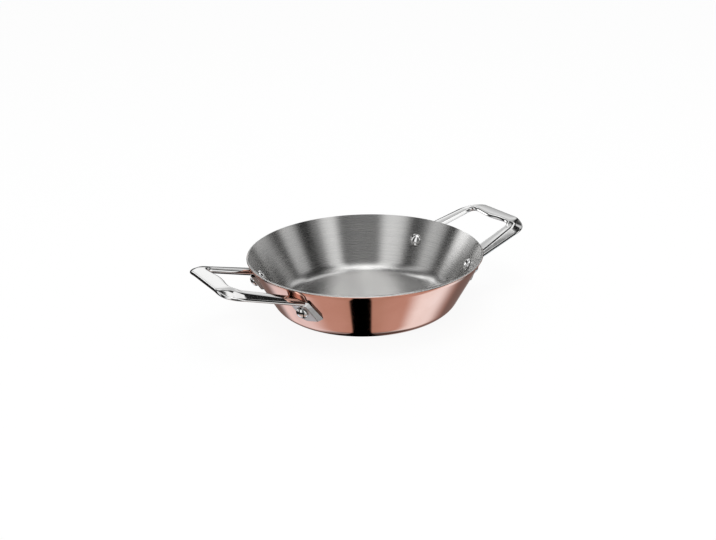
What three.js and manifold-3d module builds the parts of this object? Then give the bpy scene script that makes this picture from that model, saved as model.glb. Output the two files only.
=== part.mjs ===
// A small copper-clad paella pan with two cast loop handles.
// Millimetres, Z up. The origin is the centre of the base, on the surface that the pan stands on.
// The handles lie along X. Each one is held by two rivets through the wall.
import * as THREE from 'three';
import { mergeVertices } from 'three/addons/utils/BufferGeometryUtils.js';
import Module from 'manifold-3d';

const wasm = await Module();
wasm.setup();

// Body: one clad sheet drawn into a dish, with its edge cut square to the wall
const rimDiameter = 200;
const bodyHeight = 47;
const wallLean = THREE.MathUtils.degToRad(28.3);
const baseCornerRadius = 17;
const copperThickness = 0.5;
const coreThickness = 1;
const liningThickness = 0.5;

// Rivets: solid, domed on both ends
const rivetSpacing = 80;
const rivetHeight = 29;
const shankDiameter = 5;
const innerHeadDiameter = 11.4;
const innerHeadHeight = 3.2;
const outerHeadDiameter = 10.4;
const outerHeadHeight = 3.8;

// Feet of the handle: flat plates on the wall that splay outwards as they go down.
// The inner and outer sides are measured from the rivet, and the tail runs lower on the outer side.
const footInnerSide = 6;
const footOuterSide = 8.4;
const footThickness = 3.8;
const footInnerTail = 9.6;
const footOuterTail = 11.8;
const footInnerRound = 4;
const footOuterRound = 1.2;
const footRise = 8.3;
const footSplay = THREE.MathUtils.degToRad(21);

// Handle loop: a flat cast strap, two legs that rise to a level grip.
// A bevel on the outer side starts thin at the wall, is broadest at the corner and runs out at the grip.
// It keeps its full breadth up to the stated share of the corner's turn.
const gripReach = 41;
const gripLift = 9;
const gripHalfLength = 33.2;
const gripWidth = 12.4;
const gripSwell = 2.1;
const strapThickness = 5.4;
const innerEdgeHeight = 3;
const bellyInset = 4;
const edgeRound = 1;
const legWidth = 15;
const rootFlatWidth = 14;
const rootBevelDrop = 1;
const cornerFlatWidth = 8.6;
const cornerBevelDrop = 3;
const bevelEdgeHeight = 1.6;
const gripBevelWidth = 0.8;
const gripBevelDrop = 0.5;
const gripEdgeHeight = 3.2;
const cornerSetback = 13;
const cornerSwell = 0.5;
const bevelHold = 0.5;

// Space left where one piece is fitted to another
const fitGap = 0.25;

// Smoothness of round stretches, and how much of a short side one rounded edge may take
const edgeShare = 0.45;
const turnSteps = 72;
const cornerSteps = 5;
const rivetTurnSteps = 18;
const domeSteps = 4;
const edgeSteps = 2;
const legSteps = 4;
const bendSteps = 6;
const gripSteps = 3;

// Derived sizes
const rimRadius = rimDiameter / 2;
const sheetThickness = copperThickness + coreThickness + liningThickness;
const cornerTurn = Math.PI / 2 - wallLean;
const cornerRun = baseCornerRadius * Math.tan(cornerTurn / 2);
const baseRadius = rimRadius - bodyHeight * Math.tan(wallLean) - cornerRun;
const wallRadiusAt = (height) => rimRadius - (bodyHeight - height) * Math.tan(wallLean);
const rivetAngle = Math.asin(rivetSpacing / 2 / wallRadiusAt(rivetHeight));

// A closed three.js geometry as a solid that can be joined and cut
function solidOf(geometry) {
  geometry.deleteAttribute('normal');
  geometry.deleteAttribute('uv');
  const merged = mergeVertices(geometry, 1e-5);
  const index = merged.index.array;
  const triVerts = [];
  for (let i = 0; i < index.length; i += 3) {
    const [a, b, c] = [index[i], index[i + 1], index[i + 2]];
    if (a !== b && b !== c && c !== a) triVerts.push(a, b, c);
  }
  return new wasm.Manifold(new wasm.Mesh({
    numProp: 3,
    vertProperties: new Float32Array(merged.attributes.position.array),
    triVerts: new Uint32Array(triVerts),
  }));
}

// A solid back as a three.js geometry
function geometryOf(solid) {
  const mesh = solid.getMesh();
  const geometry = new THREE.BufferGeometry();
  geometry.setAttribute('position', new THREE.BufferAttribute(new Float32Array(mesh.vertProperties), 3));
  geometry.setIndex(new THREE.BufferAttribute(new Uint32Array(mesh.triVerts), 1));
  geometry.computeVertexNormals();
  return geometry;
}

// A profile of radius and height turned about Z
function turned(profile, steps) {
  return new THREE.LatheGeometry(profile, steps).rotateX(Math.PI / 2);
}

// The dish's section at a given depth below its outside, from the axis to the edge of the sheet
function dishLine(depth, edgeLift = 0) {
  const centre = new THREE.Vector2(baseRadius, baseCornerRadius);
  const radius = baseCornerRadius - depth;
  const line = [new THREE.Vector2(0, depth)];
  for (let i = 0; i <= cornerSteps; i += 1) {
    const turn = (cornerTurn * i) / cornerSteps;
    const spot = new THREE.Vector2(Math.sin(turn), -Math.cos(turn)).multiplyScalar(radius);
    line.push(spot.add(centre));
  }
  const inwards = new THREE.Vector2(-Math.cos(wallLean), Math.sin(wallLean)).multiplyScalar(depth);
  const alongWall = new THREE.Vector2(Math.sin(wallLean), Math.cos(wallLean)).multiplyScalar(edgeLift);
  line.push(new THREE.Vector2(rimRadius, bodyHeight).add(inwards).add(alongWall));
  return line;
}

// One layer of the clad sheet, between two depths
function layer(outerDepth, innerDepth) {
  return turned([...dishLine(outerDepth), ...dishLine(innerDepth).reverse()], turnSteps);
}

// All the space inside the dish's outside, grown by the fitting gap, to trim the handles with
function dishSpace() {
  const line = dishLine(-fitGap, gripLift + strapThickness);
  const top = line[line.length - 1];
  return turned([...line, new THREE.Vector2(0, top.y)], turnSteps);
}

// Axes on the outside of the wall: x across, y up the slope, z straight out of the wall
function wallAxes(angle, height) {
  const radius = wallRadiusAt(height);
  const across = new THREE.Vector3(-Math.sin(angle), Math.cos(angle), 0);
  const up = new THREE.Vector3(Math.cos(angle), Math.sin(angle), 0).multiplyScalar(Math.sin(wallLean));
  up.z = Math.cos(wallLean);
  const out = across.clone().cross(up);
  const axes = new THREE.Matrix4().makeBasis(across, up, out);
  return axes.setPosition(radius * Math.cos(angle), radius * Math.sin(angle), height);
}

// The wall is hollow towards a flat head inside it, so the head stands off by this much
const wallCurveRadius = wallRadiusAt(rivetHeight) / Math.cos(wallLean);
const headStandOff = (innerHeadDiameter / 2) ** 2 / (2 * wallCurveRadius);
const innerSeat = -(sheetThickness + headStandOff + fitGap);
const outerSeat = footThickness + fitGap;

// Half section of a domed head, from its crown on the axis to its edge
function domeLine(diameter, crown, seat) {
  const line = [];
  for (let i = 0; i <= domeSteps; i += 1) {
    const turn = (Math.PI / 2) * (i / domeSteps);
    const radius = (diameter / 2) * Math.sin(turn);
    line.push(new THREE.Vector2(radius, seat + (crown - seat) * Math.cos(turn)));
  }
  return line;
}

// A rivet on its own axis, with the outside of the wall at zero and the outer head up
function rivet() {
  const shank = shankDiameter / 2;
  return turned([
    ...domeLine(innerHeadDiameter, innerSeat - innerHeadHeight, innerSeat),
    new THREE.Vector2(shank, innerSeat),
    new THREE.Vector2(shank, outerSeat),
    ...domeLine(outerHeadDiameter, outerSeat + outerHeadHeight, outerSeat).reverse(),
  ], rivetTurnSteps);
}

// The hole that a rivet passes through, long enough for the wall and a foot
function rivetHole() {
  const radius = shankDiameter / 2 + fitGap;
  const reach = footThickness + sheetThickness + innerHeadDiameter;
  return turned([
    new THREE.Vector2(0, -reach),
    new THREE.Vector2(radius, -reach),
    new THREE.Vector2(radius, reach),
    new THREE.Vector2(0, reach),
  ], rivetTurnSteps);
}

// Section of the strap, inner edge at minus x: a flat top that breaks into a bevel on the outer side,
// thin edges and a fuller belly below. Corners are rounded, and every section has the same number of
// points, so sections can be lofted.
function strapSection({ inner, outer, flat, drop, edge }) {
  const half = strapThickness / 2;
  const corners = [
    new THREE.Vector2(-inner, half - innerEdgeHeight),
    new THREE.Vector2(bellyInset - inner, -half),
    new THREE.Vector2(outer - bellyInset, -half),
    new THREE.Vector2(outer, half - drop - edge),
    new THREE.Vector2(outer, half - drop),
    new THREE.Vector2(flat - inner, half),
    new THREE.Vector2(-inner, half),
  ];
  const points = [];
  corners.forEach((corner, k) => {
    const before = corners[(k + corners.length - 1) % corners.length];
    const after = corners[(k + 1) % corners.length];
    const room = Math.min(corner.distanceTo(before), corner.distanceTo(after)) * edgeShare;
    const round = Math.min(edgeRound, room);
    const start = corner.clone().add(before.clone().sub(corner).setLength(round));
    const end = corner.clone().add(after.clone().sub(corner).setLength(round));
    points.push(...new THREE.QuadraticBezierCurve(start, corner, end).getPoints(edgeSteps));
  });
  return points;
}

// The middle line of half the loop: up one leg, round the corner and along the grip to its middle
function strapPath() {
  const foot = wallAxes(rivetAngle, rivetHeight);
  const root = new THREE.Vector3(-Math.sin(footSplay), Math.cos(footSplay), 0).multiplyScalar(footRise);
  root.applyMatrix4(foot);
  const gripLevel = bodyHeight + gripLift - strapThickness / 2;
  const corner = new THREE.Vector3(rimRadius + gripReach, gripHalfLength, gripLevel);
  const legWay = corner.clone().sub(root).normalize();
  const start = root.clone().addScaledVector(legWay, -legWidth);
  const bendStart = corner.clone().addScaledVector(legWay, -cornerSetback);
  const bendEnd = corner.clone().add(new THREE.Vector3(0, -cornerSetback, 0));
  const middle = new THREE.Vector3(corner.x, 0, corner.z);
  return {
    leg: new THREE.LineCurve3(start, bendStart),
    bend: new THREE.QuadraticBezierCurve3(bendStart, corner, bendEnd),
    grip: new THREE.LineCurve3(bendEnd, middle),
  };
}

// Sections of half the loop, each with its place, its outward and upward axes and its form
function strapStations() {
  const path = strapPath();
  const upright = new THREE.Vector3(0, 0, 1);
  const { lerp, smoothstep } = THREE.MathUtils;
  const stations = [];
  const add = (curve, t, form) => {
    const along = curve.getTangent(t);
    const outward = upright.clone().cross(along).normalize();
    const upward = along.clone().cross(outward);
    stations.push({ place: curve.getPoint(t), outward, upward, form });
  };
  for (let i = 0; i < legSteps; i += 1) {
    const share = i / legSteps;
    add(path.leg, share, {
      inner: legWidth / 2,
      outer: legWidth / 2,
      flat: lerp(rootFlatWidth, cornerFlatWidth, share),
      drop: lerp(rootBevelDrop, cornerBevelDrop, share),
      edge: bevelEdgeHeight,
    });
  }
  for (let i = 0; i < bendSteps; i += 1) {
    const share = i / bendSteps;
    const runOut = smoothstep(share, bevelHold, 1);
    const half = lerp(legWidth, gripWidth, share) / 2;
    add(path.bend, share, {
      inner: half,
      outer: half + cornerSwell * Math.sin(Math.PI * share),
      flat: lerp(cornerFlatWidth, gripWidth - gripBevelWidth, runOut),
      drop: lerp(cornerBevelDrop, gripBevelDrop, runOut),
      edge: lerp(bevelEdgeHeight, gripEdgeHeight, runOut),
    });
  }
  for (let i = 0; i <= gripSteps; i += 1) {
    const share = i / gripSteps;
    const swell = gripSwell * smoothstep(share, 0, 1);
    add(path.grip, share, {
      inner: gripWidth / 2 + swell,
      outer: gripWidth / 2,
      flat: gripWidth - gripBevelWidth + swell,
      drop: gripBevelDrop,
      edge: gripEdgeHeight,
    });
  }
  return stations;
}

// The whole strap: the half loop and its mirror image, skinned over rings and closed at both ends
function strap() {
  const half = strapStations();
  const rings = [];
  const addRing = ({ place, outward, upward, form }, side) => {
    rings.push(strapSection(form).map(({ x, y }) => {
      const spot = place.clone().addScaledVector(outward, x).addScaledVector(upward, y);
      spot.y *= side;
      return spot;
    }));
  };
  half.forEach((station) => addRing(station, 1));
  half.slice(0, -1).reverse().forEach((station) => addRing(station, -1));
  const count = rings[0].length;
  const index = [];
  for (let r = 0; r + 1 < rings.length; r += 1) {
    for (let k = 0; k < count; k += 1) {
      const next = (k + 1) % count;
      const [a, b] = [r * count + k, r * count + next];
      const [c, d] = [a + count, b + count];
      index.push(a, b, d, a, d, c);
    }
  }
  const last = (rings.length - 1) * count;
  for (let k = 1; k + 1 < count; k += 1) {
    index.push(0, k + 1, k, last, last + k, last + k + 1);
  }
  const geometry = new THREE.BufferGeometry().setFromPoints(rings.flat());
  geometry.setIndex(index);
  return geometry;
}

// A foot plate, with its outer face flat and its back left inside the wall's space to be trimmed.
// Its top end is level and hidden in the root of the leg. Minus x is towards the middle of the handle.
function foot(side) {
  const slant = Math.tan(footSplay);
  const innerRound = footInnerRound;
  const outerRound = footOuterRound;
  const outline = new THREE.Shape();
  outline.moveTo(footOuterSide, footRise - footOuterSide * slant);
  outline.lineTo(-footInnerSide, footRise + footInnerSide * slant);
  outline.lineTo(-footInnerSide, innerRound - footInnerTail);
  outline.quadraticCurveTo(-footInnerSide, -footInnerTail, innerRound - footInnerSide, -footInnerTail);
  outline.lineTo(footOuterSide - outerRound, -footOuterTail);
  outline.quadraticCurveTo(footOuterSide, -footOuterTail, footOuterSide, outerRound - footOuterTail);
  outline.closePath();
  const buried = footThickness;
  const plate = new THREE.ExtrudeGeometry(outline, {
    depth: footThickness + buried,
    bevelEnabled: false,
    curveSegments: edgeSteps,
  });
  plate.translate(0, 0, -buried);
  if (side < 0) plate.rotateY(Math.PI).translate(0, 0, footThickness - buried);
  plate.rotateZ(side * footSplay);
  return plate.applyMatrix4(wallAxes(side * rivetAngle, rivetHeight));
}

// One handle casting: the strap and its two feet, trimmed to the wall and drilled
function handle() {
  let casting = solidOf(strap());
  for (const side of [1, -1]) casting = casting.add(solidOf(foot(side)));
  casting = casting.subtract(solidOf(dishSpace()));
  for (const side of [1, -1]) {
    const axes = wallAxes(side * rivetAngle, rivetHeight);
    casting = casting.subtract(solidOf(rivetHole().applyMatrix4(axes)));
  }
  return geometryOf(casting);
}

// A layer of the body with its four rivet holes
function drilledLayer(outerDepth, innerDepth) {
  let sheet = solidOf(layer(outerDepth, innerDepth));
  for (const turn of [0, Math.PI]) {
    for (const side of [1, -1]) {
      const axes = wallAxes(turn + side * rivetAngle, rivetHeight);
      sheet = sheet.subtract(solidOf(rivetHole().applyMatrix4(axes)));
    }
  }
  return geometryOf(sheet);
}

const finish = (color, roughness) => new THREE.MeshStandardMaterial({ color, roughness, metalness: 1 });
const pan = new THREE.Group();

function add(name, geometry, material, parent = pan) {
  const mesh = new THREE.Mesh(geometry, material);
  mesh.name = name;
  parent.add(mesh);
  return mesh;
}

const coreDepth = copperThickness;
const liningDepth = copperThickness + coreThickness;
add('copper_skin', drilledLayer(0, coreDepth), finish(0xc07f6c, 0.12));
add('aluminium_core', drilledLayer(coreDepth, liningDepth), finish(0xc9cbcd, 0.4));
add('steel_lining', drilledLayer(liningDepth, sheetThickness), finish(0xa6a7a9, 0.35));

for (const [sideName, turn] of [['right', 0], ['left', Math.PI]]) {
  const end = new THREE.Group();
  end.rotation.z = turn;
  pan.add(end);
  add(`${sideName}_handle`, handle(), finish(0xd8d9db, 0.08), end);
  for (const [edgeName, side] of [['first', -1], ['second', 1]]) {
    const mesh = add(`${sideName}_${edgeName}_rivet`, rivet(), finish(0xcdced0, 0.15), end);
    mesh.applyMatrix4(wallAxes(side * rivetAngle, rivetHeight));
  }
}

export default pan;
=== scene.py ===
# Small copper-clad paella pan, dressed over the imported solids
from math import asin, cos, pi, radians, sin, tan

import bmesh
import bpy
from mathutils import Matrix, Vector
from mathutils.geometry import interpolate_bezier


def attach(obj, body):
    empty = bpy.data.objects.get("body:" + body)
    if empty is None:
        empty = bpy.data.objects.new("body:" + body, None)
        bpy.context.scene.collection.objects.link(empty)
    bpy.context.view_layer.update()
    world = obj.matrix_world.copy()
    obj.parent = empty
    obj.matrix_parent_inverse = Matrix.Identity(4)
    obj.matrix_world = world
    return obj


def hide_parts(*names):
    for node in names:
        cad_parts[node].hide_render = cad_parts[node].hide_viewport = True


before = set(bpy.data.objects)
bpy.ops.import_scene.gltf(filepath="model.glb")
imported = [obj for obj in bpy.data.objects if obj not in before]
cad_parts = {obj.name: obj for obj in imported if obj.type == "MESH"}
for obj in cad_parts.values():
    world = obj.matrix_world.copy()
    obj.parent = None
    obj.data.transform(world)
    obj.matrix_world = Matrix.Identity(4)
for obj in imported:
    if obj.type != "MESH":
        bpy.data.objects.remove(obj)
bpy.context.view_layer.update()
mm = 0.001
mergeGap = 0.002 * mm  # points closer than this become one
pickGap = 0.004 * mm  # how far a point may lie from the ring that is looked for
print("solids loaded")


def addNode(tree, kind, **settings):
    item = tree.nodes.new(kind)
    for key, value in settings.items():
        setattr(item, key, value)
    return item


# a number or a colour goes straight on the socket, anything else is linked
def fillSocket(tree, socket, value):
    if hasattr(value, "is_linked"):
        tree.links.new(value, socket)
    else:
        socket.default_value = value


def addMath(tree, operation, *values, kind="ShaderNodeMath"):
    item = addNode(tree, kind, operation=operation)
    for socket, value in zip(item.inputs, values):
        fillSocket(tree, socket, value)
    return item.outputs["Value"] if operation == "LENGTH" else item.outputs[0]


def addVector(tree, operation, *values):
    return addMath(tree, operation, *values, kind="ShaderNodeVectorMath")


# a colour between two others
def addMix(tree, factor, first, second):
    item = addNode(tree, "ShaderNodeMix", data_type="RGBA")
    for name, value in (("Factor", factor), ("A", first), ("B", second)):
        fillSocket(tree, item.inputs[name], value)
    return item.outputs["Result"]


# eased step of a value from one level to another
def addEase(tree, value, start, stop, low=0.0, high=1.0):
    item = addNode(tree, "ShaderNodeMapRange", interpolation_type="SMOOTHSTEP")
    tree.links.new(value, item.inputs["Value"])
    for name, level in (("From Min", start), ("From Max", stop), ("To Min", low), ("To Max", high)):
        item.inputs[name].default_value = level
    return item.outputs["Result"]


def addNoise(tree, vector, scale, detail):
    item = addNode(tree, "ShaderNodeTexNoise")
    tree.links.new(vector, item.inputs["Vector"])
    item.inputs["Scale"].default_value = scale
    item.inputs["Detail"].default_value = detail
    return item.outputs["Fac"]


def addBump(tree, shader, height, strength, distance):
    bump = addNode(tree, "ShaderNodeBump")
    bump.inputs["Strength"].default_value = strength
    bump.inputs["Distance"].default_value = distance
    tree.links.new(height, bump.inputs["Height"])
    tree.links.new(bump.outputs["Normal"], shader.inputs["Normal"])


def objectPlace(tree):
    return addNode(tree, "ShaderNodeTexCoord").outputs["Object"]


def heightOf(tree, place):
    split = addNode(tree, "ShaderNodeSeparateXYZ")
    tree.links.new(place, split.inputs[0])
    return split.outputs["Z"]


# one up to a height in mm, easing to none above it
def addLow(tree, place, height, fade):
    return addEase(tree, heightOf(tree, place), height * mm, (height + fade) * mm, 1, 0)


# noise drawn out round the pan's axis: fine across the rings, slow along them
def ringNoise(tree, across, along, detail):
    place = objectPlace(tree)
    flat = addVector(tree, "MULTIPLY", place, (1, 1, 0))
    depth = addMath(tree, "ADD", addVector(tree, "LENGTH", flat), heightOf(tree, place))
    join = addNode(tree, "ShaderNodeCombineXYZ")
    tree.links.new(addMath(tree, "MULTIPLY", depth, across), join.inputs["Z"])
    facing = addVector(tree, "NORMALIZE", flat)
    rings = addVector(tree, "MULTIPLY_ADD", facing, (along, along, along), join.outputs[0])
    return addNoise(tree, rings, 1, detail)


def newMaterial(name, **settings):
    material = bpy.data.materials.new(name)
    material.use_nodes = True
    shader = material.node_tree.nodes["Principled BSDF"]
    for key, value in settings.items():
        shader.inputs[key].default_value = value
    return material, material.node_tree, shader


def makeCopper():
    look = dict(bright=(0.82, 0.485, 0.395, 1), deep=(0.78, 0.445, 0.355, 1), smooth=0.05, smeared=0.09,
                clouds=dict(scale=45, detail=3), cloudSpread=(0.3, 0.7),
                smear=dict(across=700, along=3, detail=3), smearSpread=(0.3, 0.8),
                polish=dict(across=1600, along=4, detail=2), bump=dict(strength=0.03, distance=0.04 * mm))
    material, tree, shader = newMaterial("polishedCopper", Metallic=1.0)
    clouds = addEase(tree, addNoise(tree, objectPlace(tree), **look["clouds"]), *look["cloudSpread"])
    tree.links.new(addMix(tree, clouds, look["bright"], look["deep"]), shader.inputs["Base Color"])
    smear = addEase(tree, ringNoise(tree, **look["smear"]), *look["smearSpread"], look["smooth"], look["smeared"])
    tree.links.new(smear, shader.inputs["Roughness"])
    addBump(tree, shader, ringNoise(tree, **look["polish"]), **look["bump"])
    return material


def makeLining():
    look = dict(bright=(0.65, 0.645, 0.635, 1), deep=(0.61, 0.607, 0.6, 1), smooth=0.26, rough=0.28,
                fine=dict(across=2600, along=1.2, detail=2), broad=dict(across=420, along=1, detail=2),
                spread=(0.25, 0.75), bump=dict(strength=0.03, distance=0.06 * mm), stretch=0.97, quarter=0.25,
                floor=(0.88, 0.875, 0.865, 1), floorTop=3, floorFade=6, floorRough=-0.06)
    material, tree, shader = newMaterial("brushedSteel", Metallic=1.0, Anisotropic=look["stretch"])
    shader.inputs["Anisotropic Rotation"].default_value = look["quarter"]
    tangent = addNode(tree, "ShaderNodeTangent", direction_type="RADIAL", axis="Z")
    tree.links.new(tangent.outputs[0], shader.inputs["Tangent"])
    fine, broad = ringNoise(tree, **look["fine"]), ringNoise(tree, **look["broad"])
    wall = addMix(tree, addEase(tree, broad, *look["spread"]), look["bright"], look["deep"])
    # the pan's floor is brushed finer than its wall, and its colour is painted brighter there: painted light
    # standing in for the light it catches from above
    low = addLow(tree, objectPlace(tree), look["floorTop"], look["floorFade"])
    tree.links.new(addMix(tree, low, wall, look["floor"]), shader.inputs["Base Color"])
    brushed = addEase(tree, fine, *look["spread"], look["smooth"], look["rough"])
    tree.links.new(addMath(tree, "MULTIPLY_ADD", low, look["floorRough"], brushed), shader.inputs["Roughness"])
    addBump(tree, shader, fine, **look["bump"])
    return material


def makeCore():
    look = dict(base=(0.94, 0.94, 0.93, 1), saw=dict(across=3000, along=20, detail=2), spread=(0.2, 0.8),
                smooth=0.46, rough=0.6)
    material, tree, shader = newMaterial("cutAluminium", Metallic=1.0)
    shader.inputs["Base Color"].default_value = look["base"]
    sawn = addEase(tree, ringNoise(tree, **look["saw"]), *look["spread"], look["smooth"], look["rough"])
    tree.links.new(sawn, shader.inputs["Roughness"])
    return material


cast = dict(detail=4, spread=(0.3, 0.75), waves=dict(scale=70, detail=2),
            bump=dict(strength=0.05, distance=0.4 * mm))
handleFinish = dict(base=(0.8, 0.8, 0.795, 1), smooth=0.06, worn=0.12, grain=160,
                    satin=dict(height=32, fade=2.5, roughness=0.34, paintedShadeTone=(0.62, 0.62, 0.62, 1)))
rivetFinish = dict(base=(0.86, 0.86, 0.855, 1), smooth=0.05, worn=0.11, grain=420)


# polished metal; where a satin finish is given, it is left satin below that height, and its colour there is
# painted darker: painted shade standing in for the darker reflection on the feet
def makeCast(name, base, smooth, worn, grain, satin=None):
    material, tree, shader = newMaterial(name, Metallic=1.0)
    shader.inputs["Base Color"].default_value = base
    place = objectPlace(tree)
    rough = addEase(tree, addNoise(tree, place, grain, cast["detail"]), *cast["spread"], smooth, worn)
    if satin:
        low = addLow(tree, place, satin["height"], satin["fade"])
        rough = addMath(tree, "MULTIPLY_ADD", low, satin["roughness"], rough)
        tree.links.new(addMix(tree, low, base, satin["paintedShadeTone"]), shader.inputs["Base Color"])
    tree.links.new(rough, shader.inputs["Roughness"])
    addBump(tree, shader, addNoise(tree, place, **cast["waves"]), **cast["bump"])
    return material


copperLook = makeCopper()
liningLook = makeLining()
coreLook = makeCore()
handleLook = makeCast("polishedSteel", **handleFinish)
rivetLook = makeCast("rivetSteel", **rivetFinish)
print("materials made")


# what is of one kind, points or faces, in what an operator gives back
def only(kind, items):
    return [item for item in items if isinstance(item, kind)]


# rounds edges or corners to a size in mm
def roundOff(bm, geom, size, segments, affect="EDGES"):
    bmesh.ops.bevel(bm, geom=geom, offset=size * mm, offset_type="OFFSET", affect=affect,
                    segments=segments, profile=0.5, material=-1)


# turns a drawn section once round the upright axis
def revolve(bm, steps):
    bmesh.ops.spin(bm, geom=bm.verts[:] + bm.edges[:], cent=(0, 0, 0), axis=(0, 0, 1), angle=2 * pi,
                   steps=steps, use_merge=True)
    bmesh.ops.remove_doubles(bm, verts=bm.verts, dist=mergeGap)


# a finished mesh takes the place of its plain solid
def finishPiece(name, bm, look, node, sharp):
    bmesh.ops.remove_doubles(bm, verts=bm.verts, dist=mergeGap)
    bmesh.ops.recalc_face_normals(bm, faces=bm.faces)
    for face in bm.faces:
        face.smooth = True
    mesh = bpy.data.meshes.new(name)
    bm.to_mesh(mesh)
    bm.free()
    mesh.set_sharp_from_angle(angle=sharp)
    mesh.materials.append(look)
    piece = bpy.data.objects.new(name, mesh)
    bpy.context.scene.collection.objects.link(piece)
    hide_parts(node)
    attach(piece, "root")
    return piece


# lengths in mm here and in the dictionaries below
dish = dict(rimRadius=100, height=47, lean=radians(28.3), cornerRadius=17, copper=0.5, core=1.0, lining=0.5,
            cornerSteps=20, wallSteps=12, floorSteps=6, turnSteps=288, edgeRound=0.16, edgeSegments=2,
            sharp=radians(50))
cornerTurn = pi / 2 - dish["lean"]
cornerRun = dish["cornerRadius"] * (1 - cos(cornerTurn))
baseRadius = (dish["rimRadius"] - (dish["height"] - cornerRun) * tan(dish["lean"])
              - dish["cornerRadius"] * sin(cornerTurn))


def wallRadius(height):
    return dish["rimRadius"] - (dish["height"] - height) * tan(dish["lean"])


# radius and height of the rim at a depth into the sheet
def rimPlace(depth):
    return dish["rimRadius"] - depth * cos(dish["lean"]), dish["height"] + depth * sin(dish["lean"])


# one line of the dish's section, from the axis to the rim, at a depth into the sheet
def sectionLine(bm, depth):
    radius, height = rimPlace(depth)
    corner = dish["cornerRadius"]
    wallFoot = Vector((baseRadius + (corner - depth) * sin(cornerTurn), 0,
                       corner - (corner - depth) * cos(cornerTurn)))
    centre = Vector((baseRadius, 0, corner)) * mm
    runs = ((dish["floorSteps"], 0, Vector((baseRadius, 0, 0))),
            (dish["cornerSteps"], cornerTurn, Vector()),
            (dish["wallSteps"], 0, Vector((radius, 0, height)) - wallFoot))
    point = bm.verts.new((0, 0, depth * mm))
    for steps, turn, way in runs:
        drawn = bmesh.ops.spin(bm, geom=[point], cent=centre, axis=(0, -1, 0), dvec=way * mm / steps,
                               angle=turn, steps=steps)
        point = only(bmesh.types.BMVert, drawn["geom_last"])[0]
    return point


def roundRim(bm, depth):
    radius, height = rimPlace(depth)
    ring = {vert for vert in bm.verts
            if abs(vert.co.z - height * mm) < pickGap and abs(vert.co.xy.length - radius * mm) < pickGap}
    edges = [edge for edge in bm.edges if ring.issuperset(edge.verts)]
    roundOff(bm, edges, dish["edgeRound"], dish["edgeSegments"])


def makeLayer(name, outer, inner, look, node, roundDepth=None):
    bm = bmesh.new()
    bm.edges.new([sectionLine(bm, outer), sectionLine(bm, inner)])
    revolve(bm, dish["turnSteps"])
    if roundDepth is not None:
        roundRim(bm, roundDepth)
    finishPiece(name, bm, look, node, dish["sharp"])


copperDepth = dish["copper"]
coreDepth = copperDepth + dish["core"]
sheetDepth = coreDepth + dish["lining"]
makeLayer("copperSkin", 0, copperDepth, copperLook, "copper_skin", 0)
makeLayer("aluminiumCore", copperDepth, coreDepth, coreLook, "aluminium_core")
makeLayer("steelLining", coreDepth, sheetDepth, liningLook, "steel_lining", sheetDepth)
print("dish made")

rivet = dict(spacing=80, height=29, shank=5, innerHead=11.4, innerRise=3.2, outerHead=10.4, outerRise=3.8,
             fitGap=0.25, turnSteps=48, domeSteps=12, sharp=radians(40))
rivetAngle = asin(rivet["spacing"] / 2 / wallRadius(rivet["height"]))


# axes on the wall: x runs round the pan, y up the slope, z straight out of it
def wallAxes(angle, height):
    lean, radius = dish["lean"], wallRadius(height)
    across = Vector((-sin(angle), cos(angle), 0))
    up = Vector((cos(angle) * sin(lean), sin(angle) * sin(lean), cos(lean)))
    axes = Matrix((across, up, across.cross(up))).transposed().to_4x4()
    axes.translation = Vector((radius * cos(angle), radius * sin(angle), height)) * mm
    return axes


foot = dict(innerSide=6, outerSide=8.4, thickness=3.8, innerTail=9.6, outerTail=11.8, innerRound=4,
            outerRound=1.2, rise=8.3, splay=radians(21), draft=1.3, edgeRound=0.55, edgeSegments=3,
            roundSegments=8)
# the rounds go once round the section, from the lower inner edge under the belly and back over the top
strap = dict(reach=41, lift=9, halfLength=33.2, gripWidth=12.4, swell=2.1, thickness=5.4, innerEdge=3,
             innerDraft=0.35, bellyInset=4, crown=0.25, legWidth=15, rootFlat=12.6, rootDrop=1.3,
             cornerFlat=7.6, cornerDrop=3, bevelEdge=1.6, gripBevel=0.8, gripDrop=0.5, gripEdge=3.2,
             setback=13, cornerSwell=0.5, bevelHold=0.5, legSteps=14, bendSteps=24, gripSteps=14,
             rounds=(0.8, 1.6, 1.6, 0.8, 1.5, 2.0, 5.0, 3.6), roundSteps=5, roundPull=0.6, sharp=radians(40))
cutter = dict(above=2, holeDepth=16, holeSteps=48)


def blend(start, stop, share):
    return start + (stop - start) * share


# eased share, held at none up to the start
def ease(share, start=0.0):
    share = max(0.0, (share - start) / (1 - start))
    return share * share * (3 - 2 * share)


# the strap's section, x outwards and y up, with each corner rounded as far as its sides allow
def strapSection(inner, outer, flat, drop, edge):
    half, belly, draft = strap["thickness"] / 2, strap["bellyInset"], strap["innerDraft"]
    shoulder = half - strap["crown"]
    corners = [Vector(corner) for corner in (
        (-inner - draft, half - strap["innerEdge"]), (belly - inner, -half), (outer - belly, -half),
        (outer, half - drop - edge), (outer, half - drop), (flat - inner, shoulder),
        (flat / 2 - inner, half), (draft - inner, shoulder))]
    rounds, pull = strap["rounds"], strap["roundPull"]
    points = []
    for number, corner in enumerate(corners):
        size, ends = rounds[number], []
        for other in (number - 1, (number + 1) % len(corners)):
            way = corners[other] - corner
            ends.append(corner + way.normalized() * min(size, way.length * size / (size + rounds[other])))
        first, last = ends
        points += interpolate_bezier(first, first.lerp(corner, pull), last.lerp(corner, pull), last,
                                     strap["roundSteps"] + 1)
    return points


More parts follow.
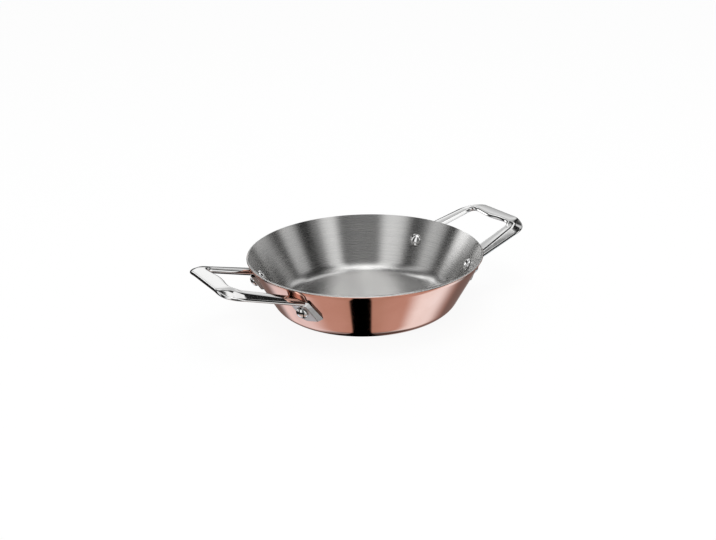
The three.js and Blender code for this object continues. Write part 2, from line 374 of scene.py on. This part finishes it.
# stations along half of the loop, from inside the wall to the middle of the grip
def strapStations():
    splay, rise = foot["splay"], foot["rise"]
    climb = Vector((-sin(splay) * rise * mm, cos(splay) * rise * mm, 0))
    root = (wallAxes(rivetAngle, rivet["height"]) @ climb) / mm
    corner = Vector((dish["rimRadius"] + strap["reach"], strap["halfLength"],
                     dish["height"] + strap["lift"] - strap["thickness"] / 2))
    legWay, gripWay = (corner - root).normalized(), Vector((0, -1, 0))
    legStart, bendStart = root - legWay * strap["legWidth"], corner - legWay * strap["setback"]
    bendStop, middle = corner + gripWay * strap["setback"], Vector((corner.x, 0, corner.z))
    leg, grip = strap["legWidth"] / 2, strap["gripWidth"] / 2
    # flat top, drop of the bevel and height of the edge below it
    rootBevel = (strap["rootFlat"], strap["rootDrop"], strap["bevelEdge"])
    cornerBevel = (strap["cornerFlat"], strap["cornerDrop"], strap["bevelEdge"])
    gripBevel = (strap["gripWidth"] - strap["gripBevel"], strap["gripDrop"], strap["gripEdge"])
    stations = []
    for step in range(strap["legSteps"] + 1):
        share = step / strap["legSteps"]
        bevel = [blend(*pair, share) for pair in zip(rootBevel, cornerBevel)]
        stations.append((legStart.lerp(bendStart, share), legWay, strapSection(leg, leg, *bevel)))
    for step in range(1, strap["bendSteps"] + 1):
        share = step / strap["bendSteps"]
        runOut = ease(share, strap["bevelHold"])
        bevel = [blend(*pair, runOut) for pair in zip(cornerBevel, gripBevel)]
        half = blend(leg, grip, share)
        outer = half + strap["cornerSwell"] * sin(pi * share)
        first, last = bendStart.lerp(corner, share), corner.lerp(bendStop, share)
        stations.append((first.lerp(last, share), (last - first).normalized(), strapSection(half, outer, *bevel)))
    for step in range(1, strap["gripSteps"] + 1):
        share = step / strap["gripSteps"]
        swell = strap["swell"] * ease(share)
        section = strapSection(grip + swell, grip, gripBevel[0] + swell, *gripBevel[1:])
        stations.append((bendStop.lerp(middle, share), gripWay, section))
    return stations


# the strap is drawn out ring by ring and mirrored at the grip's middle
def makeStrap():
    bm = bmesh.new()
    ring = []
    for place, along, section in strapStations():
        outward = along.cross(Vector((0, 0, 1))).normalized() * -1
        upward = along.cross(outward)
        points = [(place + outward * point.x + upward * point.y) * mm for point in section]
        if not ring:
            ring = [bm.verts.new(point) for point in points]
            bm.faces.new(ring)
            continue
        edges = [bm.edges.get((vert, ring[number - 1])) for number, vert in enumerate(ring)]
        fresh = set(only(bmesh.types.BMVert, bmesh.ops.extrude_edge_only(bm, edges=edges)["geom"]))
        ring = [next(other for other in (edge.other_vert(vert) for edge in vert.link_edges) if other in fresh)
                for vert in ring]
        for vert, point in zip(ring, points):
            vert.co = point
    bmesh.ops.mirror(bm, geom=bm.verts[:] + bm.edges[:] + bm.faces[:], axis="Y", merge_dist=mergeGap)
    bmesh.ops.recalc_face_normals(bm, faces=bm.faces)
    return bm


# a foot plate: rounded outline, thickened along the wall's normal, drafted, with its front edge eased
def makeFoot(side):
    inner, outer, rise = foot["innerSide"], foot["outerSide"], foot["rise"]
    slope = tan(foot["splay"])
    outline = ((outer, rise - outer * slope), (-inner, rise + inner * slope),
               (-inner, -foot["innerTail"]), (outer, -foot["outerTail"]))
    bm = bmesh.new()
    corners = [bm.verts.new((x * mm, y * mm, -foot["thickness"] * mm)) for x, y in outline]
    bm.faces.new(corners)
    for corner, size in ((corners[2], foot["innerRound"]), (corners[3], foot["outerRound"])):
        roundOff(bm, [corner], size, foot["roundSegments"], "VERTICES")
    grown = bmesh.ops.extrude_face_region(bm, geom=bm.faces[:])["geom"]
    front = only(bmesh.types.BMFace, grown)[0]
    bmesh.ops.translate(bm, verts=front.verts[:], vec=(0, 0, 2 * foot["thickness"] * mm))
    back = [vert for vert in bm.verts if vert.co.z < 0]
    bmesh.ops.scale(bm, vec=(foot["draft"], foot["draft"], 1), verts=back)
    roundOff(bm, front.edges[:], foot["edgeRound"], foot["edgeSegments"])
    flip, turn = Matrix.Diagonal((side, 1, 1, 1)), Matrix.Rotation(side * foot["splay"], 4, "Z")
    bmesh.ops.transform(bm, matrix=wallAxes(side * rivetAngle, rivet["height"]) @ turn @ flip, verts=bm.verts)
    bmesh.ops.recalc_face_normals(bm, faces=bm.faces)
    return bm


# what the casting is cut back by: the wall with its fitting gap, and the rivet holes
def makeCutters():
    bm = bmesh.new()
    grow, top = rivet["fitGap"] / cos(dish["lean"]), dish["height"] + cutter["above"]
    bmesh.ops.create_cone(bm, cap_ends=True, segments=dish["turnSteps"], radius1=(wallRadius(0) + grow) * mm,
                          radius2=(wallRadius(top) + grow) * mm, depth=top * mm,
                          matrix=Matrix.Translation((0, 0, top / 2 * mm)))
    hole = (rivet["shank"] / 2 + rivet["fitGap"]) * mm
    for side in (-1, 1):
        bmesh.ops.create_cone(bm, cap_ends=True, segments=cutter["holeSteps"], radius1=hole, radius2=hole,
                              depth=cutter["holeDepth"] * mm, matrix=wallAxes(side * rivetAngle, rivet["height"]))
    return bm


def looseObject(name, bm):
    mesh = bpy.data.meshes.new(name)
    bm.to_mesh(mesh)
    bm.free()
    item = bpy.data.objects.new(name, mesh)
    bpy.context.scene.collection.objects.link(item)
    return item


# joins or cuts with a helper, keeps the outcome as plain mesh and throws the helper away
def carve(item, helper, operation):
    cut = item.modifiers.new("cut", "BOOLEAN")
    cut.operation, cut.solver, cut.use_self, cut.object = operation, "EXACT", True, helper
    made = bpy.data.meshes.new_from_object(item.evaluated_get(bpy.context.evaluated_depsgraph_get()))
    item.modifiers.clear()
    item.data = made
    bpy.data.objects.remove(helper)


def makeHandle():
    casting = looseObject("casting", makeStrap())
    for side in (-1, 1):
        carve(casting, looseObject("foot", makeFoot(side)), "UNION")
    carve(casting, looseObject("cutters", makeCutters()), "DIFFERENCE")
    mesh = casting.data
    bpy.data.objects.remove(casting)
    return mesh


castMesh = makeHandle()
for name, node, turn in (("rightHandle", "right_handle", 0), ("leftHandle", "left_handle", pi)):
    bm = bmesh.new()
    bm.from_mesh(castMesh)
    bmesh.ops.rotate(bm, cent=(0, 0, 0), matrix=Matrix.Rotation(turn, 3, "Z"), verts=bm.verts)
    piece = finishPiece(name, bm, handleLook, node, strap["sharp"])
    shade = piece.modifiers.new("evenShade", "WEIGHTED_NORMAL")
    shade.keep_sharp = True
print("handles made")


# a shank with a domed head on both ends, turned from half of its section
def makeRivet(name, node, angle):
    bm = bmesh.new()
    outerRadius, innerRadius = rivet["outerHead"] / 2, rivet["innerHead"] / 2
    # the flat seat of the inner head stands off from the hollow of the wall
    standOff = innerRadius ** 2 / (2 * wallRadius(rivet["height"]) / cos(dish["lean"]))
    outerSeat = foot["thickness"] + rivet["fitGap"]
    innerSeat = -(sheetDepth + standOff + rivet["fitGap"])
    necks = []
    for radius, rise, seat in ((outerRadius, rivet["outerRise"], outerSeat),
                               (innerRadius, -rivet["innerRise"], innerSeat)):
        before = set(bm.verts)
        start = bm.verts.new((radius * mm, 0, 0))
        bmesh.ops.spin(bm, geom=[start], cent=(0, 0, 0), axis=(0, -1, 0), angle=pi / 2, steps=rivet["domeSteps"])
        fresh = [vert for vert in bm.verts if vert not in before]
        # a quarter round, squeezed to the head's rise and set on its seat
        bmesh.ops.scale(bm, vec=(1, 1, rise / radius), verts=fresh)
        bmesh.ops.translate(bm, vec=(0, 0, seat * mm), verts=fresh)
        neck = bm.verts.new((rivet["shank"] / 2 * mm, 0, seat * mm))
        bm.edges.new((start, neck))
        necks.append(neck)
    bm.edges.new(necks)
    revolve(bm, rivet["turnSteps"])
    bmesh.ops.transform(bm, matrix=wallAxes(angle, rivet["height"]), verts=bm.verts)
    finishPiece(name, bm, rivetLook, node, rivet["sharp"])


for name, node, angle in (("rightFirstRivet", "right_first_rivet", -rivetAngle),
                          ("rightSecondRivet", "right_second_rivet", rivetAngle),
                          ("leftFirstRivet", "left_first_rivet", pi - rivetAngle),
                          ("leftSecondRivet", "left_second_rivet", pi + rivetAngle)):
    makeRivet(name, node, angle)
print("rivets made")

# camera as fitted to the photo: angles, then where the pan's foot centre lies from the picture's middle;
# the clip is in metres
view = dict(elevation=radians(21.447), roll=radians(1.4706), turn=radians(31.13), distance=869.6, right=6.8335,
            down=28.466, lens=50.52, sensor=36, clip=(0.01, 50))


def makeCamera():
    rise, roll = view["elevation"], view["roll"]
    side, down = Vector((1, 0, 0)), Vector((0, -sin(rise), -cos(rise)))
    turn = Matrix.Rotation(-view["turn"], 3, "Z")
    right = turn @ (side * cos(roll) + down * sin(roll))
    below = turn @ (down * cos(roll) - side * sin(roll))
    ahead = turn @ Vector((0, cos(rise), -sin(rise)))
    camera = bpy.data.cameras.new("photoCamera")
    camera.sensor_fit, camera.sensor_width, camera.lens = "HORIZONTAL", view["sensor"], view["lens"]
    camera.clip_start, camera.clip_end = view["clip"]
    item = bpy.data.objects.new("photoCamera", camera)
    bpy.context.scene.collection.objects.link(item)
    axes = Matrix((right, -below, -ahead)).transposed().to_4x4()
    axes.translation = (right * view["right"] + below * view["down"] + ahead * view["distance"]) * -mm
    item.matrix_world = axes
    bpy.context.scene.camera = item
    return item


photoCamera = makeCamera()


def grey(level):
    return (level, level, level)


# what the metal mirrors: soft boxes round the pan, by bearing from the camera and by height, in degrees
boxes = [
    # in front and at the flanks
    dict(bearing=-36, half=15, soft=7, low=-4, high=62, fade=6, light=grey(1.02)),
    dict(bearing=45, half=14, soft=5, low=-4, high=22, fade=5, light=grey(1.0)),
    dict(bearing=42.6, half=10, soft=5, low=24, high=62, fade=6, light=grey(1.22)),
    dict(bearing=-85.5, half=10.5, soft=5, low=-4, high=60, fade=6, light=grey(0.8)),
    dict(bearing=88, half=10.5, soft=6, low=-4, high=28, fade=5, light=grey(1.15)),
    # towards the rear
    dict(bearing=-121.2, half=9, soft=5, low=-6, high=23, fade=5, light=grey(1.85)),
    dict(bearing=-137, half=7, soft=5, low=-6, high=16, fade=4, light=grey(0.9)),
    dict(bearing=132, half=16, soft=9, low=-4, high=25, fade=5, light=grey(0.58)),
    # overhead
    dict(bearing=142, half=18, soft=4, low=66, high=95, fade=4, light=grey(0.24)),
    dict(bearing=0, half=112, soft=10, low=67, high=95, fade=11, light=grey(1.45)),
    dict(bearing=158.5, half=9.5, soft=2, low=45, high=68.5, fade=1.0, light=grey(1.05)),
    dict(bearing=184, half=18.5, soft=3, low=67.5, high=95, fade=1.2, light=grey(1.1)),
    # behind, mostly for the handles
    dict(bearing=180, half=19, soft=5, low=17, high=27, fade=4, light=grey(0.84)),
    dict(bearing=189, half=14.5, soft=2, low=1, high=17, fade=4, light=grey(0.84)),
    dict(bearing=168, half=6.5, soft=2, low=2, high=17, fade=4, light=grey(0.4)),
    dict(bearing=-167, half=10, soft=5, low=10, high=30, fade=4, light=grey(0.25)),
    dict(bearing=192, half=26, soft=3, low=27, high=45, fade=3, light=grey(0.62)),
    dict(bearing=196, half=17, soft=3, low=47, high=57, fade=2, light=grey(0.62)),
    dict(bearing=209, half=15, soft=3, low=47, high=51.5, fade=1.5, light=grey(1.4)),
    dict(bearing=184.5, half=4.5, soft=3, low=43, high=50, fade=2, light=grey(0.8)),
    # a weak fill in front, then what the table throws back, tinted for the copper
    dict(bearing=3, half=20, soft=8, low=-4, high=62, fade=6, light=grey(0.13)),
    dict(bearing=56, half=26, soft=6, low=-15, high=0, fade=4, light=grey(0.55)),
    dict(bearing=50, half=34, soft=6, low=-38, high=-15, fade=4, light=grey(0.38)),
    dict(bearing=177, half=11, soft=5, low=-45, high=-24, fade=4, light=grey(0.38)),
    dict(bearing=70, half=66, soft=10, low=-95, high=-40, fade=5, light=(0.5, 0.37, 0.315)),
    dict(bearing=-76, half=72, soft=10, low=-95, high=-40, fade=5, light=(0.5, 0.37, 0.315)),
    dict(bearing=95, half=40, soft=25, low=-95, high=-40, fade=5, light=(0.08, 0.07, 0.08)),
    dict(bearing=-95, half=40, soft=25, low=-95, high=-40, fade=5, light=(0.08, 0.07, 0.08)),
    dict(bearing=113, half=17.5, soft=10.5, low=-95, high=-36, fade=4, light=(0.45, 0.82, 1.0)),
    dict(bearing=-126, half=20, soft=15, low=-95, high=-38, fade=4, light=(0.3, 0.52, 0.66)),
    dict(bearing=180, half=44, soft=6, low=-95, high=-24, fade=5, light=(0.19, 0.15, 0.14)),
    # straight overhead, and two at the rear for the pan's floor and the right grip's corner
    dict(bearing=0, half=180, soft=10, low=77, high=95, fade=3, light=grey(0.35)),
    dict(bearing=132.5, half=12.5, soft=2, low=31, high=48, fade=3, light=grey(0.75)),
    dict(bearing=-138, half=11, soft=3, low=39.5, high=47, fade=2, light=grey(1.05))]
# the card and the contact shade are placed by direction, their heights are in degrees
studio = dict(ambient=grey(0.015), plain=grey(0.85), backdrop=grey(1),
              card=dict(place=-0.05, half=0.105, soft=0.012, low=-32, fade=6),
              contact=dict(behind=0.25, near=0.26, far=0.40, depth=0.62, low=-50, high=-40))


# full inside a soft box, easing out across its edges
def boxShare(tree, around, height, box):
    half, soft, fade = box["half"], box["soft"], box["fade"]
    turned = addMath(tree, "WRAP", addMath(tree, "SUBTRACT", around, radians(box["bearing"])), pi, -pi)
    aside = addMath(tree, "ABSOLUTE", turned)
    wide = addEase(tree, aside, radians(half - soft), radians(half + soft), 1, 0)
    above = addEase(tree, height, radians(box["low"] - fade), radians(box["low"] + fade))
    below = addEase(tree, height, radians(box["high"] - fade), radians(box["high"] + fade), 1, 0)
    return addMath(tree, "MULTIPLY", wide, addMath(tree, "MULTIPLY", above, below))


# a dark card on the table under the camera
def cardShare(tree, sideways, height):
    card = studio["card"]
    aside = addMath(tree, "ABSOLUTE", addMath(tree, "SUBTRACT", sideways, card["place"]))
    wide = addEase(tree, aside, card["half"] - card["soft"], card["half"] + card["soft"], 1, 0)
    below = addEase(tree, height, radians(card["low"] - card["fade"]), radians(card["low"] + card["fade"]), 1, 0)
    return addMath(tree, "MULTIPLY", wide, below)


# the light falls off under the pan
def contactShare(tree, facing, height):
    contact = studio["contact"]
    behind = addVector(tree, "MULTIPLY_ADD", facing, (1, 1, 0), (contact["behind"], 0, 0))
    apart = addVector(tree, "LENGTH", behind)
    near = addEase(tree, apart, contact["near"], contact["far"], contact["depth"], 0)
    below = addEase(tree, height, radians(contact["low"]), radians(contact["high"]), 1, 0)
    return addMath(tree, "MULTIPLY", near, below)


# mirrored rays see the boxes, scattered rays an even light, and the camera a white backdrop
def makeWorld():
    world = bpy.data.worlds.new("studio")
    bpy.context.scene.world = world
    world.use_nodes = True
    tree = world.node_tree
    turned = addNode(tree, "ShaderNodeMapping", vector_type="POINT")
    tree.links.new(addNode(tree, "ShaderNodeTexCoord").outputs["Generated"], turned.inputs["Vector"])
    toCamera = photoCamera.matrix_world.translation
    turned.inputs["Rotation"].default_value = (0, 0, Vector((1, 0)).angle_signed(toCamera.xy))
    facing = turned.outputs[0]
    split = addNode(tree, "ShaderNodeSeparateXYZ")
    tree.links.new(facing, split.inputs[0])
    x, y, z = split.outputs
    around, height = addMath(tree, "ARCTAN2", y, x), addMath(tree, "ARCSINE", z)
    light = studio["ambient"]
    for box in boxes:
        light = addVector(tree, "MULTIPLY_ADD", box["light"], boxShare(tree, around, height, box), light)
    shades = (cardShare(tree, y, height), contactShare(tree, facing, height))
    left = addMath(tree, "MULTIPLY", *[addMath(tree, "SUBTRACT", 1, shade) for shade in shades])
    shown = addVector(tree, "MULTIPLY", light, left)
    path = addNode(tree, "ShaderNodeLightPath")
    for ray, colour in (("Is Diffuse Ray", studio["plain"]), ("Is Camera Ray", studio["backdrop"])):
        shown = addMix(tree, path.outputs[ray], shown, (*colour, 1))
    tree.links.new(shown, tree.nodes["Background"].inputs["Color"])


makeWorld()

# in metres
floor = dict(half=3.0, drop=0.0002, colour=(0.86, 0.86, 0.86, 1), roughness=0.9, glow=(1, 1, 1, 1), veil=0.92)


# pale floor: the camera sees it almost as bright as the backdrop, with a faint shadow
def makeFloor():
    bm = bmesh.new()
    bmesh.ops.create_grid(bm, x_segments=1, y_segments=1, size=floor["half"],
                          matrix=Matrix.Translation((0, 0, -floor["drop"])))
    item = looseObject("paleFloor", bm)
    material, tree, shader = newMaterial("paleFloor", Roughness=floor["roughness"])
    shader.inputs["Base Color"].default_value = floor["colour"]
    glow = addNode(tree, "ShaderNodeEmission")
    glow.inputs["Color"].default_value = floor["glow"]
    path = addNode(tree, "ShaderNodeLightPath")
    mix = addNode(tree, "ShaderNodeMixShader")
    tree.links.new(addMath(tree, "MULTIPLY", path.outputs["Is Camera Ray"], floor["veil"]), mix.inputs[0])
    tree.links.new(shader.outputs[0], mix.inputs[1])
    tree.links.new(glow.outputs[0], mix.inputs[2])
    tree.links.new(mix.outputs[0], tree.nodes["Material Output"].inputs["Surface"])
    item.data.materials.append(material)
    item.visible_glossy = False


makeFloor()

lamps = [dict(name="overhead", place=(0.1, -0.1, 1.4), size=0.9, power=7),
         dict(name="frontLeft", place=(-1.1, -0.7, 0.9), size=0.6, power=3)]
for lamp in lamps:
    light = bpy.data.lights.new(lamp["name"], "AREA")
    light.energy, light.size = lamp["power"], lamp["size"]
    item = bpy.data.objects.new(lamp["name"], light)
    item.location = lamp["place"]
    item.visible_glossy = False
    item.rotation_euler = (-Vector(lamp["place"])).to_track_quat("-Z", "Y").to_euler()
    bpy.context.scene.collection.objects.link(item)
bpy.context.scene.view_settings.view_transform = "Standard"
print("stage set")
